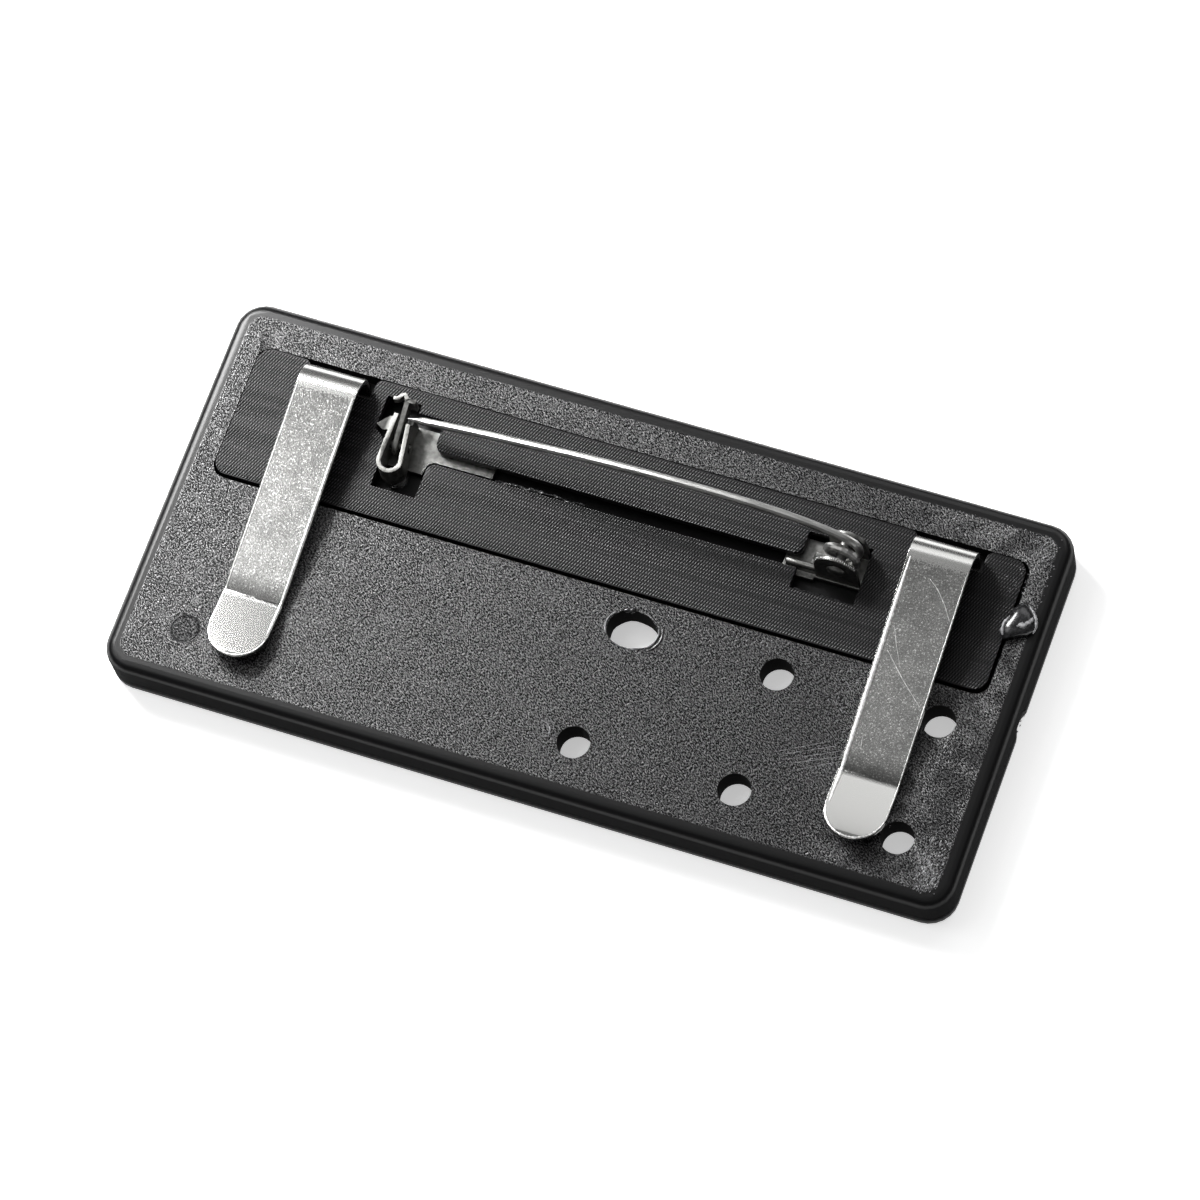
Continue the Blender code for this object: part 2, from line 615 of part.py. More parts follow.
def on_axis(piece, name, point):
    """Hangs a moving piece on an empty that stands on its joint's axis."""
    empty = bpy.data.objects.new(name, None)
    empty.location = point
    bpy.context.scene.collection.objects.link(empty)
    piece.parent = empty
    piece.location = -Vector(point)


def build():
    """Makes every piece of the badge."""
    clear_scene()
    black = material("black_abs", (0.022, 0.022, 0.024), 0.45, 0.0)
    strip_black = material("black_strip", (0.016, 0.016, 0.017), 0.4, 0.0)
    white = material("white_plate", (0.83, 0.83, 0.82), 0.4, 0.0)
    spring_steel = material("bright_spring_steel", (0.62, 0.62, 0.61), 0.25, 1.0)
    plated = material("nickel_plated_steel", (0.55, 0.54, 0.52), 0.32, 1.0)
    front_frame(black)
    name_plate(white)
    back_housing(black)
    inlaid_strip(strip_black)
    for name in CLIP_CENTRES:
        spring_clip(name, spring_steel)
    pin_base(plated)
    hinge_rivet(plated)
    catch_guard(plated)
    lock_pivot(plated)
    on_axis(needle(plated), "needle_axis", (HINGE_X, (EAR_FRONT_Y + EAR_BACK_Y) / 2, HINGE_Z))
    on_axis(catch_lock(plated), "lock_axis", (LOCK_X, *LOCK_PIVOT))


build()
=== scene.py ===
# %% [markdown]
# A name badge lies on its front, so its back shows: black moulded plastic, a black strip inlaid in
# it, a bar pin with its catch, and two bright spring clips. The exact solids come from the packed
# model and stay as they are. This file gives them their finishes and adds the small things that
# moulding, wear and rough handling leave on the real badge. All sizes are metres, written in
# millimetres times MM.

# %% Load the badge
import math
import random

import bpy
from mathutils import Matrix, Vector
from mathutils.bvhtree import BVHTree


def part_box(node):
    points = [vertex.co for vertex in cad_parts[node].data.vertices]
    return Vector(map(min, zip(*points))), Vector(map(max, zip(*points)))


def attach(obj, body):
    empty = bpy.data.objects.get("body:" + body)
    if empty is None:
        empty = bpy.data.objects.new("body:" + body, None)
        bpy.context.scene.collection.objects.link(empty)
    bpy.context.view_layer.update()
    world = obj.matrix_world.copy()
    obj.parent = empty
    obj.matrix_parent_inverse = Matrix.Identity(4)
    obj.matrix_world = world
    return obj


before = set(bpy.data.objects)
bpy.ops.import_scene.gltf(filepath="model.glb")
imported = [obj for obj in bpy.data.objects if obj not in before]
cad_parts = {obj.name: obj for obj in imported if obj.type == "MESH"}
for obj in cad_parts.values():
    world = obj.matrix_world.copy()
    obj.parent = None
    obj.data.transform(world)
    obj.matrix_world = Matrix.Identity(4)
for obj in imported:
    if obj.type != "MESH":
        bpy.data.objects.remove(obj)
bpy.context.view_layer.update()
MM = 0.001
BACK_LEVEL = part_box("back_housing")[1].z
print("pieces:", ", ".join(sorted(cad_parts)))
print("level of the moulded back, mm:", round(BACK_LEVEL / MM, 2))

# %% [markdown]
# The camera stands a little over half a metre away and looks down at 66 degrees, from beyond the
# badge's right end and lower edge. A long lens keeps the badge's edges nearly parallel. The camera
# is turned about its own line of sight, because the badge lies askew in the picture.

# %% Camera
CAMERA_PLACE = Vector((123.71, -167.10, 475.78)) * MM
CAMERA_TARGET = Vector((1.255, 0.049, 4.4)) * MM
CAMERA_ROLL = -17.74
CAMERA_LENS = 186.2
camera_data = bpy.data.cameras.new("camera")
camera_data.lens = CAMERA_LENS
camera_data.sensor_width = 36.0
camera_data.sensor_fit = "HORIZONTAL"
camera_data.clip_start = 0.01
camera = bpy.data.objects.new("camera", camera_data)
bpy.context.scene.collection.objects.link(camera)
line_of_sight = CAMERA_PLACE - CAMERA_TARGET
turn = line_of_sight.to_track_quat("Z", "Y").to_matrix().to_4x4()
roll = Matrix.Rotation(math.radians(CAMERA_ROLL), 4, "Z")
camera.matrix_world = Matrix.Translation(CAMERA_PLACE) @ turn @ roll
bpy.context.scene.camera = camera
print("camera distance, mm:", round(line_of_sight.length / MM, 1))

# %% [markdown]
# A small bright key lamp stands close to the badge, up and to its left. Being close, it lights the
# left end more than the right end, and it makes the grain sparkle. Steel shows the lamps
# themselves, so two large soft boxes hang to the left: the left clip mirrors them and is nearly
# white, while the right clip mirrors the dimmer room beside them and is grey. A panel behind the
# badge brightens the clips' round bends. An even grey sky stands for the room.

# %% Studio light
def area_lamp(name, place, aim, width, height, radiance):
    """A rectangular soft lamp. Its power is worked out from how bright its face shall look."""
    data = bpy.data.lights.new(name, "AREA")
    data.shape = "RECTANGLE"
    data.size, data.size_y = width, height
    data.energy = radiance * math.pi * width * height
    lamp = bpy.data.objects.new(name, data)
    bpy.context.scene.collection.objects.link(lamp)
    toward = (Vector(place) - Vector(aim)).to_track_quat("Z", "Y").to_matrix().to_4x4()
    lamp.matrix_world = Matrix.Translation(Vector(place)) @ toward
    print(name, "power, W:", round(data.energy, 2))


area_lamp("key_lamp", (-0.145, 0.092, 0.155), (0.0, 0.0, 0.0), 0.08, 0.08, 39.0)
area_lamp("soft_box", (-0.35, 0.27, 0.40), (-0.35, 0.27, 0.0), 0.40, 0.44, 0.5)
area_lamp("low_box", (-0.34, -0.05, 0.40), (-0.34, -0.05, 0.0), 0.40, 0.17, 2.0)
area_lamp("back_panel", (0.05, 0.47, 0.40), (0.0, 0.0, 0.0), 0.38, 0.32, 1.5)
area_lamp("ceiling_panel", (0.0, 0.2, 0.90), (0.0, 0.2, 0.0), 1.6, 1.6, 0.24)

SKY_STRENGTH = 0.10
sky = bpy.data.worlds.new("grey_room")
sky.use_nodes = True
sky.node_tree.nodes["Background"].inputs["Color"].default_value = (1.0, 1.0, 1.0, 1.0)
sky.node_tree.nodes["Background"].inputs["Strength"].default_value = SKY_STRENGTH
bpy.context.scene.world = sky
bpy.context.scene.view_settings.view_transform = "Standard"

# %% [markdown]
# Materials are node trees. One function adds a node, sets its options and fills its inputs, either
# with a value or with another node's output. Colours are written as on a screen, in hex, and one
# function turns them to the linear values that light is worked out in.

# %% Two helpers for materials
def linear(hex_colour):
    """A screen colour such as '8a8a88' as linear red, green, blue and full alpha."""
    parts = [int(hex_colour[i:i + 2], 16) / 255 for i in (0, 2, 4)]
    return (*[p / 12.92 if p <= 0.04045 else ((p + 0.055) / 1.055) ** 2.4 for p in parts], 1.0)


def add_node(tree, kind, inputs=None, **options):
    """Adds a node: options are its settings, inputs maps an input to a value or to an output."""
    made = tree.nodes.new(kind)
    for option, value in options.items():
        setattr(made, option, value)
    for socket, value in (inputs or {}).items():
        if isinstance(value, bpy.types.NodeSocket):
            tree.links.new(value, made.inputs[socket])
        else:
            made.inputs[socket].default_value = value
    return made


def new_material(name):
    """An empty material with a Principled shader: returns the material, its tree and the shader."""
    made = bpy.data.materials.new(name)
    made.use_nodes = True
    return made, made.node_tree, made.node_tree.nodes["Principled BSDF"]


# %% [markdown]
# The badge lies on plain white paper. It could be a modelled sweep, but the photo shows no horizon,
# so a flat sheet is enough. A faint mottling keeps it from looking like a flat fill, and a glow of
# its own keeps it white beside the dim room.

# %% Floor
PAPER_GLOW = 0.62


def white_paper():
    """Uncoated white paper: bright, quite matt, with barely visible mottling."""
    made, tree, shader = new_material("white_paper")
    place = add_node(tree, "ShaderNodeTexCoord")
    mottle = add_node(tree, "ShaderNodeTexNoise", {
        "Vector": place.outputs["Object"], "Scale": 12.0, "Detail": 3.0})
    tone = add_node(tree, "ShaderNodeValToRGB", {"Fac": mottle.outputs["Fac"]})
    tone.color_ramp.elements[0].color = linear("f6f6f6")
    tone.color_ramp.elements[1].color = linear("fbfbfb")
    tree.links.new(tone.outputs["Color"], shader.inputs["Base Color"])
    shader.inputs["Roughness"].default_value = 0.9
    shader.inputs["IOR"].default_value = 1.5
    shader.inputs["Emission Color"].default_value = linear("ffffff")
    shader.inputs["Emission Strength"].default_value = PAPER_GLOW
    return made


FLOOR_HALF = 1.5
FLOOR_DROP = 0.01 * MM
floor_mesh = bpy.data.meshes.new("floor")
floor_mesh.from_pydata([(-FLOOR_HALF, -FLOOR_HALF, 0), (FLOOR_HALF, -FLOOR_HALF, 0),
                        (FLOOR_HALF, FLOOR_HALF, 0), (-FLOOR_HALF, FLOOR_HALF, 0)], [], [(0, 1, 2, 3)])
floor = bpy.data.objects.new("floor", floor_mesh)
bpy.context.scene.collection.objects.link(floor)
floor.location.z = -FLOOR_DROP
floor_mesh.materials.append(white_paper())
print("floor, m across:", 2 * FLOOR_HALF)

# %% [markdown]
# The back is ABS plastic, moulded in a tool whose flat face was spark eroded. That prints a fine
# grain of pits and crests, about a tenth of a millimetre across and drawn out on a slant, on the
# flat face only: the round rim and the recess stay smooth. The grain could be displaced geometry,
# but a bump is enough at this size. The crests are painted lighter than the pits, a painted
# highlight on the crests and painted shade in the pits, and they shine more. Towards the right end
# they shine less, a painted falloff of the light, apart from some smears that shine. The ejector
# mark at the lower left is a duller disc inside a dark ring. Its middle is written in plain
# millimetres, because the ring's raised edge is built in them later.

# %% Grained ABS for the moulded back
GRAIN_SIZE = 0.105 * MM
GRAIN_DEPTH = 0.024 * MM
FACE_FROM, FACE_TO = BACK_LEVEL - 0.08 * MM, BACK_LEVEL - 0.02 * MM
GRAIN_TURN = math.radians(-36.0)
GRAIN_STRETCH = 1.7
PATCH_SIZE = 0.8 * MM
SMEAR_SIZE = 2.4 * MM
GRAIN_CORNER = 1.4 * MM
HALF_LENGTH, HALF_WIDTH, ROUND_RIM = 37.5 * MM, 17.6 * MM, 1.25 * MM
GRAIN_BOX = (HALF_LENGTH - ROUND_RIM - GRAIN_CORNER, HALF_WIDTH - ROUND_RIM - GRAIN_CORNER, 1.0)
WORN_FROM, WORN_TO = -34.0 * MM, 28.0 * MM
SMEARS_FROM, SMEARS_TO = 21.0 * MM, 30.0 * MM
EJECTOR_X, EJECTOR_Y = -31.3, -12.6
DISC_EDGE = (1.0 * MM, 1.15 * MM)
RING_EDGE = (1.22 * MM, 1.36 * MM)


def grained_abs():
    """Black ABS with a spark-eroded grain: IOR 1.54, shining crests painted light, pits painted nearly
    black as shade.
    """
    made, tree, shader = new_material("black_abs_spark_grain")
    place = add_node(tree, "ShaderNodeTexCoord").outputs["Object"]
    level = add_node(tree, "ShaderNodeSeparateXYZ", {0: place}).outputs["Z"]
    high = add_node(tree, "ShaderNodeMapRange", {
        0: level, 1: FACE_FROM, 2: FACE_TO}).outputs[0]
    mirrored = add_node(tree, "ShaderNodeVectorMath", {0: place}, operation="ABSOLUTE").outputs[0]
    beyond = add_node(tree, "ShaderNodeVectorMath", {0: mirrored, 1: GRAIN_BOX},
                      operation="SUBTRACT").outputs[0]
    corner = add_node(tree, "ShaderNodeVectorMath", {0: beyond, 1: (0, 0, 0)},
                      operation="MAXIMUM").outputs[0]
    reach = add_node(tree, "ShaderNodeVectorMath", {0: corner}, operation="LENGTH").outputs["Value"]
    inside = add_node(tree, "ShaderNodeMapRange", {
        0: reach, 1: GRAIN_CORNER, 2: GRAIN_CORNER - 0.12 * MM}).outputs[0]
    on_face = add_node(tree, "ShaderNodeMath", {0: high, 1: inside}, operation="MULTIPLY").outputs[0]
    drawn_out = add_node(tree, "ShaderNodeMapping", {
        "Vector": place, "Rotation": (0, 0, GRAIN_TURN), "Scale": (GRAIN_STRETCH, 1.0, 1.0)},
        vector_type="TEXTURE").outputs[0]
    fine = add_node(tree, "ShaderNodeTexNoise", {
        "Vector": drawn_out, "Scale": 1 / GRAIN_SIZE, "Detail": 2.0, "Roughness": 0.6}).outputs["Fac"]
    crests = add_node(tree, "ShaderNodeMapRange", {0: fine, 1: 0.43, 2: 0.71}).outputs[0]
    patch = add_node(tree, "ShaderNodeTexNoise", {
        "Vector": place, "Scale": 1 / PATCH_SIZE, "Detail": 1.0}).outputs["Fac"]
    depth = add_node(tree, "ShaderNodeMapRange", {
        0: patch, 1: 0.35, 2: 0.6, 3: 0.7, 4: 1.15}).outputs[0]
    spread = add_node(tree, "ShaderNodeMix", {0: depth, 2: 0.4, 3: crests},
                      data_type="FLOAT").outputs[0]
    height = add_node(tree, "ShaderNodeMath", {0: spread, 1: on_face}, operation="MULTIPLY").outputs[0]
    relief = add_node(tree, "ShaderNodeBump", {
        "Height": height, "Distance": GRAIN_DEPTH, "Strength": 1.0})
    # Painted highlight and shade: the colour is lighter on the crests and nearly black in the pits.
    tone = add_node(tree, "ShaderNodeValToRGB", {"Fac": height})
    tone.color_ramp.elements[0].color = linear("070708")
    tone.color_ramp.elements[1].color = linear("262628")
    tree.links.new(relief.outputs["Normal"], shader.inputs["Normal"])
    tree.links.new(tone.outputs["Color"], shader.inputs["Base Color"])
    shine = add_node(tree, "ShaderNodeMapRange", {
        0: spread, 1: 0.1, 2: 0.9, 3: 0.06, 4: 2.0}).outputs[0]
    along = add_node(tree, "ShaderNodeSeparateXYZ", {0: place}).outputs["X"]
    # Painted falloff of the light: the crests shine less towards the right end.
    painted_shine_falloff = add_node(tree, "ShaderNodeMapRange", {
        0: along, 1: WORN_FROM, 2: WORN_TO, 3: 1.25, 4: 0.72}).outputs[0]
    smears = add_node(tree, "ShaderNodeTexNoise", {
        "Vector": place, "Scale": 1 / SMEAR_SIZE, "Detail": 2.0}).outputs["Fac"]
    smear = add_node(tree, "ShaderNodeMapRange", {
        0: smears, 1: 0.44, 2: 0.62, 3: 0.0, 4: 1.3}).outputs[0]
    at_right = add_node(tree, "ShaderNodeMapRange", {
        0: along, 1: SMEARS_FROM, 2: SMEARS_TO}).outputs[0]
    smeared = add_node(tree, "ShaderNodeMath", {0: smear, 1: at_right},
                       operation="MULTIPLY").outputs[0]
    right_end_fade = add_node(tree, "ShaderNodeMath", {0: smeared, 1: painted_shine_falloff, 2: painted_shine_falloff},
                    operation="MULTIPLY_ADD").outputs[0]
    flat_place = add_node(tree, "ShaderNodeVectorMath", {0: place, 1: (1, 1, 0)},
                          operation="MULTIPLY").outputs[0]
    ejector = (EJECTOR_X * MM, EJECTOR_Y * MM, 0.0)
    from_mark = add_node(tree, "ShaderNodeVectorMath", {0: flat_place, 1: ejector},
                         operation="DISTANCE").outputs["Value"]
    in_ring = add_node(tree, "ShaderNodeMapRange", {
        0: from_mark, 1: DISC_EDGE[0], 2: DISC_EDGE[1], 3: 0.55, 4: 0.12}).outputs[0]
    outside = add_node(tree, "ShaderNodeMapRange", {
        0: from_mark, 1: RING_EDGE[0], 2: RING_EDGE[1]}).outputs[0]
    mark = add_node(tree, "ShaderNodeMix", {0: outside, 2: in_ring, 3: 1.0},
                    data_type="FLOAT").outputs[0]
    marked = add_node(tree, "ShaderNodeMath", {0: shine, 1: mark},
                      operation="MULTIPLY").outputs[0]
    shown = add_node(tree, "ShaderNodeMath", {0: marked, 1: right_end_fade}, operation="MULTIPLY").outputs[0]
    facing = add_node(tree, "ShaderNodeNewGeometry").outputs["Normal"]
    upward = add_node(tree, "ShaderNodeSeparateXYZ", {0: facing}).outputs["Z"]
    wall = add_node(tree, "ShaderNodeMapRange", {0: upward, 1: 0.1, 2: 0.6, 3: 0.05, 4: 0.3}).outputs[0]
    gloss = add_node(tree, "ShaderNodeMix", {0: on_face, 2: wall, 3: shown},
                     data_type="FLOAT").outputs[0]
    tree.links.new(gloss, shader.inputs["Specular IOR Level"])
    rough = add_node(tree, "ShaderNodeMapRange", {
        0: upward, 1: 0.1, 2: 0.6, 3: 0.85, 4: 0.3}).outputs[0]
    tree.links.new(rough, shader.inputs["Roughness"])
    shader.inputs["IOR"].default_value = 1.54
    return made


# %% [markdown]
# The front frame is the same plastic from a polished tool, with faint flow marks.

# %% Smooth ABS for the front frame
def smooth_abs():
    """Black ABS from a polished tool: soft gloss with faint flow marks."""
    made, tree, shader = new_material("black_abs_polished")
    place = add_node(tree, "ShaderNodeTexCoord").outputs["Object"]
    flow = add_node(tree, "ShaderNodeTexNoise", {
        "Vector": place, "Scale": 400.0, "Detail": 2.0}).outputs["Fac"]
    rough = add_node(tree, "ShaderNodeMapRange", {0: flow, 3: 0.55, 4: 0.75}).outputs[0]
    tone = add_node(tree, "ShaderNodeValToRGB", {"Fac": flow})
    tone.color_ramp.elements[0].color = linear("09090a")
    tone.color_ramp.elements[1].color = linear("121214")
    tree.links.new(tone.outputs["Color"], shader.inputs["Base Color"])
    tree.links.new(rough, shader.inputs["Roughness"])
    shader.inputs["IOR"].default_value = 1.54
    shader.inputs["Specular IOR Level"].default_value = 0.4
    return made


# %% [markdown]
# The strip's tool was cut with rows of fine slanted lines, like a tiny weave. The real lines are
# about 0.13 mm apart. That is finer than a pixel of the render, so they are drawn 0.25 mm apart,
# in rows 0.34 mm high. Some rows stand out and some are worn smooth, which runs along the strip as
# lighter and darker bands, and all of them fade towards the right end. The lines' tone follows
# their relief: darker in the grooves is painted shade, lighter on the ridges painted highlight.

# %% Lined ABS for the inlaid strip
LINE_PITCH = 0.25 * MM
LINE_LEAN = -0.45
LINE_DEPTH = 0.02 * MM
ROW_PITCH = 0.34 * MM
BAND_SIZE = 1.2 * MM
ROWS_WORN_FROM, ROWS_WORN_TO = -5.0 * MM, 20.0 * MM


def lined_abs():
    """Black ABS with rows of slanted lines: satin, with bands that catch the light, and a tone painted
    darker in the grooves and lighter on the ridges.
    """
    made, tree, shader = new_material("black_abs_lined")
    place = add_node(tree, "ShaderNodeTexCoord").outputs["Object"]
    axes = add_node(tree, "ShaderNodeSeparateXYZ", {0: place})
    lean = add_node(tree, "ShaderNodeMath", {
        0: axes.outputs["Y"], 1: LINE_LEAN, 2: axes.outputs["X"]},
        operation="MULTIPLY_ADD").outputs[0]
    turns = add_node(tree, "ShaderNodeMath", {0: lean, 1: 2 * math.pi / LINE_PITCH},
                     operation="MULTIPLY").outputs[0]
    lines = add_node(tree, "ShaderNodeMath", {0: turns}, operation="SINE").outputs[0]
    rows_turn = add_node(tree, "ShaderNodeMath", {0: axes.outputs["Y"], 1: 2 * math.pi / ROW_PITCH},
                         operation="MULTIPLY").outputs[0]
    rows = add_node(tree, "ShaderNodeMath", {0: rows_turn}, operation="SINE").outputs[0]
    row_mask = add_node(tree, "ShaderNodeMapRange", {0: rows, 1: -0.7, 2: 0.4, 3: 0.1, 4: 1.0}).outputs[0]
    band = add_node(tree, "ShaderNodeTexNoise", {
        "W": axes.outputs["Y"], "Scale": 1 / BAND_SIZE, "Detail": 1.0},
        noise_dimensions="1D").outputs["Fac"]
    strength = add_node(tree, "ShaderNodeMapRange", {0: band, 1: 0.35, 2: 0.65, 3: 0.45, 4: 1.3}).outputs[0]
    top = add_node(tree, "ShaderNodeMapRange", {
        0: axes.outputs["Z"], 1: BACK_LEVEL - 0.05 * MM, 2: BACK_LEVEL - 0.01 * MM}).outputs[0]
    right_end_fade = add_node(tree, "ShaderNodeMapRange", {
        0: axes.outputs["X"], 1: ROWS_WORN_FROM, 2: ROWS_WORN_TO, 3: 1.0, 4: 0.55}).outputs[0]
    left_over = add_node(tree, "ShaderNodeMath", {0: strength, 1: right_end_fade},
                         operation="MULTIPLY").outputs[0]
    mask = add_node(tree, "ShaderNodeMath", {0: left_over, 1: top},
                    operation="MULTIPLY").outputs[0]
    lit = add_node(tree, "ShaderNodeMath", {0: mask, 1: row_mask}, operation="MULTIPLY").outputs[0]
    height = add_node(tree, "ShaderNodeMath", {0: lines, 1: lit}, operation="MULTIPLY").outputs[0]
    relief = add_node(tree, "ShaderNodeBump", {
        "Height": height, "Distance": LINE_DEPTH, "Strength": 1.0})
    # Painted shade and highlight: the colour is darker in the line grooves and lighter on the ridges.
    share = add_node(tree, "ShaderNodeMapRange", {0: height, 1: -1.0, 2: 1.0}).outputs[0]
    tone = add_node(tree, "ShaderNodeValToRGB", {"Fac": share})
    tone.color_ramp.elements[0].position = 0.4
    tone.color_ramp.elements[0].color = linear("060607")
    tone.color_ramp.elements[1].color = linear("1c1c1e")
    tree.links.new(relief.outputs["Normal"], shader.inputs["Normal"])
    tree.links.new(tone.outputs["Color"], shader.inputs["Base Color"])
    ridge_gloss = add_node(tree, "ShaderNodeMapRange", {
        0: height, 1: -0.2, 2: 0.8, 3: 0.06, 4: 0.75}).outputs[0]
    tree.links.new(ridge_gloss, shader.inputs["Specular IOR Level"])
    shader.inputs["Roughness"].default_value = 0.37
    shader.inputs["IOR"].default_value = 1.54
    return made


# %% [markdown]
# The plate behind the holes is white acrylic sheet, smooth and blank. In the holes it is nearly as
# bright as the paper, so it gets a little painted glow of its own, though it is no lamp.

# %% White acrylic
ACRYLIC_PAINTED_GLOW = 0.45


def white_acrylic():
    """Cast acrylic sheet, opal white: IOR 1.49, glossy with faint haze, and a painted glow."""
    made, tree, shader = new_material("white_acrylic_sheet")
    place = add_node(tree, "ShaderNodeTexCoord").outputs["Object"]
    haze = add_node(tree, "ShaderNodeTexNoise", {
        "Vector": place, "Scale": 250.0, "Detail": 3.0}).outputs["Fac"]
    tone = add_node(tree, "ShaderNodeValToRGB", {"Fac": haze})
    tone.color_ramp.elements[0].color = linear("ececeb")
    tone.color_ramp.elements[1].color = linear("f8f8f7")
    rough = add_node(tree, "ShaderNodeMapRange", {0: haze, 3: 0.12, 4: 0.28}).outputs[0]
    tree.links.new(tone.outputs["Color"], shader.inputs["Base Color"])
    tree.links.new(rough, shader.inputs["Roughness"])
    shader.inputs["IOR"].default_value = 1.49
    # Painted light: the plate glows though it is no lamp.
    shader.inputs["Emission Color"].default_value = linear("ffffff")
    shader.inputs["Emission Strength"].default_value = ACRYLIC_PAINTED_GLOW
    return made


# %% [markdown]
# The clips are bent from cold-rolled spring steel strip. Rolling leaves it bright and nearly
# mirror-like, and pockets and cloth leave fine pits and scuffs, so it looks speckled on the flats.
# Above the knee near the tip a band is darkened, the painted shade of a crease, and towards the
# bend the flat is darker, in patches. The bend and the tip stay polished; the bend's colour is also
# raised as a painted highlight, and the tip's is a little lower. A ragged edge parts the bend from
# the flat. The limits are places along the clip.

# %% Spring steel
SPECK_SIZE, SPECK_DEPTH = 0.14 * MM, 0.01 * MM
WIPE_SIZE = 1.6 * MM
KNEE_FROM, KNEE_TO = -8.9 * MM, -8.6 * MM
CREASE_SHADE_FROM, CREASE_SHADE_TO = -8.2 * MM, -6.4 * MM
DARKER_TO_BEND_FROM, DARKER_TO_BEND_TO = 2.0 * MM, 9.5 * MM
BEND_FROM, BEND_TO = 10.9 * MM, 10.6 * MM
BEND_RAGGED = 1.6 * MM


def spring_steel():
    """Cold-rolled spring steel: bright, slightly frosted, with specks and short scuffs."""
    made, tree, shader = new_material("spring_steel_cold_rolled")
    place = add_node(tree, "ShaderNodeTexCoord").outputs["Object"]
    along = add_node(tree, "ShaderNodeSeparateXYZ", {0: place}).outputs["Y"]
    past_knee = add_node(tree, "ShaderNodeMapRange", {
        0: along, 1: KNEE_FROM, 2: KNEE_TO}).outputs[0]
    noise = add_node(tree, "ShaderNodeTexNoise", {
        "Vector": place, "Scale": 1 / SPECK_SIZE, "Detail": 2.0}).outputs["Fac"]
    ragged = add_node(tree, "ShaderNodeMath", {0: noise, 1: BEND_RAGGED, 2: along},
                      operation="MULTIPLY_ADD").outputs[0]
    below_bend = add_node(tree, "ShaderNodeMapRange", {
        0: ragged, 1: BEND_FROM, 2: BEND_TO}).outputs[0]
    flat = add_node(tree, "ShaderNodeMath", {0: past_knee, 1: below_bend},
                    operation="MULTIPLY").outputs[0]
    specks = add_node(tree, "ShaderNodeMix", {0: flat, 2: 0.5, 3: noise},
                      data_type="FLOAT").outputs[0]
    relief = add_node(tree, "ShaderNodeBump", {
        "Height": specks, "Distance": SPECK_DEPTH, "Strength": 1.0})
    tone = add_node(tree, "ShaderNodeValToRGB", {"Fac": specks})
    tone.color_ramp.elements[0].position = 0.3
    tone.color_ramp.elements[0].color = linear("a8a8a6")
    tone.color_ramp.elements[1].position = 0.7
    tone.color_ramp.elements[1].color = linear("cececc")
    rough = add_node(tree, "ShaderNodeMapRange", {
        0: specks, 1: 0.3, 2: 0.7, 3: 0.15, 4: 0.27}).outputs[0]
    # Painted shade: the colour is darkened over a band above the knee, along the crease.
    crease_shade = add_node(tree, "ShaderNodeMapRange", {
        0: along, 1: CREASE_SHADE_FROM, 2: CREASE_SHADE_TO, 3: 0.3, 4: 1.0}).outputs[0]
    # The colour is darker towards the bend.
    darker_to_bend = add_node(tree, "ShaderNodeMapRange", {
        0: along, 1: DARKER_TO_BEND_FROM, 2: DARKER_TO_BEND_TO, 3: 1.0, 4: 0.7}).outputs[0]
    wiped = add_node(tree, "ShaderNodeTexNoise", {
        "Vector": place, "Scale": 1 / WIPE_SIZE, "Detail": 2.0}).outputs["Fac"]
    patches = add_node(tree, "ShaderNodeMapRange", {
        0: wiped, 1: 0.35, 2: 0.65, 3: 0.86, 4: 1.08}).outputs[0]
    marked = add_node(tree, "ShaderNodeMath", {0: crease_shade, 1: darker_to_bend},
                      operation="MULTIPLY").outputs[0]
    dots = add_node(tree, "ShaderNodeMapRange", {
        0: noise, 1: 0.6, 2: 0.68, 3: 1.0, 4: 1.5}).outputs[0]
    wiped_off = add_node(tree, "ShaderNodeMath", {0: patches, 1: dots},
                         operation="MULTIPLY").outputs[0]
    uneven = add_node(tree, "ShaderNodeMath", {0: marked, 1: wiped_off},
                      operation="MULTIPLY").outputs[0]
    # Painted highlight: the bend's colour is raised; the tip's is a little lower.
    bend_highlight_tip_tone = add_node(tree, "ShaderNodeMix", {0: past_knee, 2: 0.84, 3: 1.1},
                        data_type="FLOAT").outputs[0]
    bare = add_node(tree, "ShaderNodeMix", {0: flat, 2: bend_highlight_tip_tone, 3: uneven},
                    data_type="FLOAT").outputs[0]
    dulled = add_node(tree, "ShaderNodeVectorMath", {0: tone.outputs["Color"], "Scale": bare},
                      operation="SCALE")
    tree.links.new(relief.outputs["Normal"], shader.inputs["Normal"])
    tree.links.new(dulled.outputs["Vector"], shader.inputs["Base Color"])
    smooth = add_node(tree, "ShaderNodeMix", {0: past_knee, 2: 0.13, 3: 0.23},
                      data_type="FLOAT").outputs[0]
    ends = add_node(tree, "ShaderNodeMix", {0: flat, 2: smooth, 3: rough},
                    data_type="FLOAT").outputs[0]
    tree.links.new(ends, shader.inputs["Roughness"])
    shader.inputs["Metallic"].default_value = 1.0
    return made


# %% [markdown]
# The pin, its base and its catch are mild steel with a thin nickel plating, greyer and softer than
# the clips' steel. The folded catch was tumbled with other parts, so it is duller than the base,
# and its pointed tab at the left is darkened with painted shade.

# %% Nickel plate
PLATE_PIT_SIZE, PLATE_PIT_DEPTH = 0.35 * MM, 0.004 * MM
SHADE_UP_TO, UNSHADED_FROM = -21.4 * MM, -21.0 * MM


